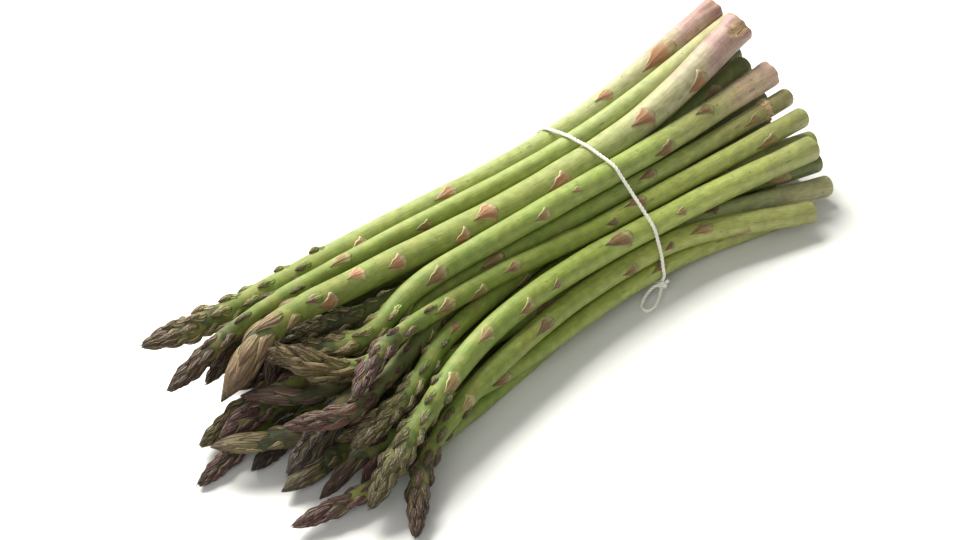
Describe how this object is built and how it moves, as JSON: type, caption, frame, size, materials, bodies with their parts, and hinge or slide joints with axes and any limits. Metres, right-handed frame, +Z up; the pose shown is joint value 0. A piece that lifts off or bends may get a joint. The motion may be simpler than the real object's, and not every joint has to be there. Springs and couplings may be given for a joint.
{
  "type": "bundle of asparagus",
  "caption": "Bundle of green asparagus spears lying down, held by one turn of thin string with a knot and a small loop.",
  "frame": {"origin": "centre of the bundle's outline on the surface that it lies on", "axes": "+X along the bundle to the cut butts, -X to the heads, +Y to the back, +Z up"},
  "size_m": [0.2533, 0.0984, 0.055],
  "materials": {
    "spear": "waxy green skin with pinkish brown bracts and purple heads",
    "string": "twisted cream cotton string"
  },
  "bodies": {
    "root": {"spear_01": "spear", "spear_02": "spear", "spear_03": "spear", "spear_04": "spear", "spear_05": "spear", "spear_06": "spear", "spear_07": "spear", "spear_08": "spear", "spear_09": "spear", "spear_10": "spear", "spear_11": "spear", "spear_12": "spear", "spear_13": "spear", "spear_14": "spear", "spear_15": "spear", "spear_16": "spear", "spear_17": "spear", "spear_18": "spear", "spear_19": "spear", "spear_20": "spear", "spear_21": "spear", "spear_22": "spear", "spear_23": "spear", "spear_24": "spear", "spear_25": "spear", "spear_26": "spear", "spear_27": "spear", "spear_28": "spear", "spear_29": "spear", "tie_string": "string"}
  },
  "joints": []
}
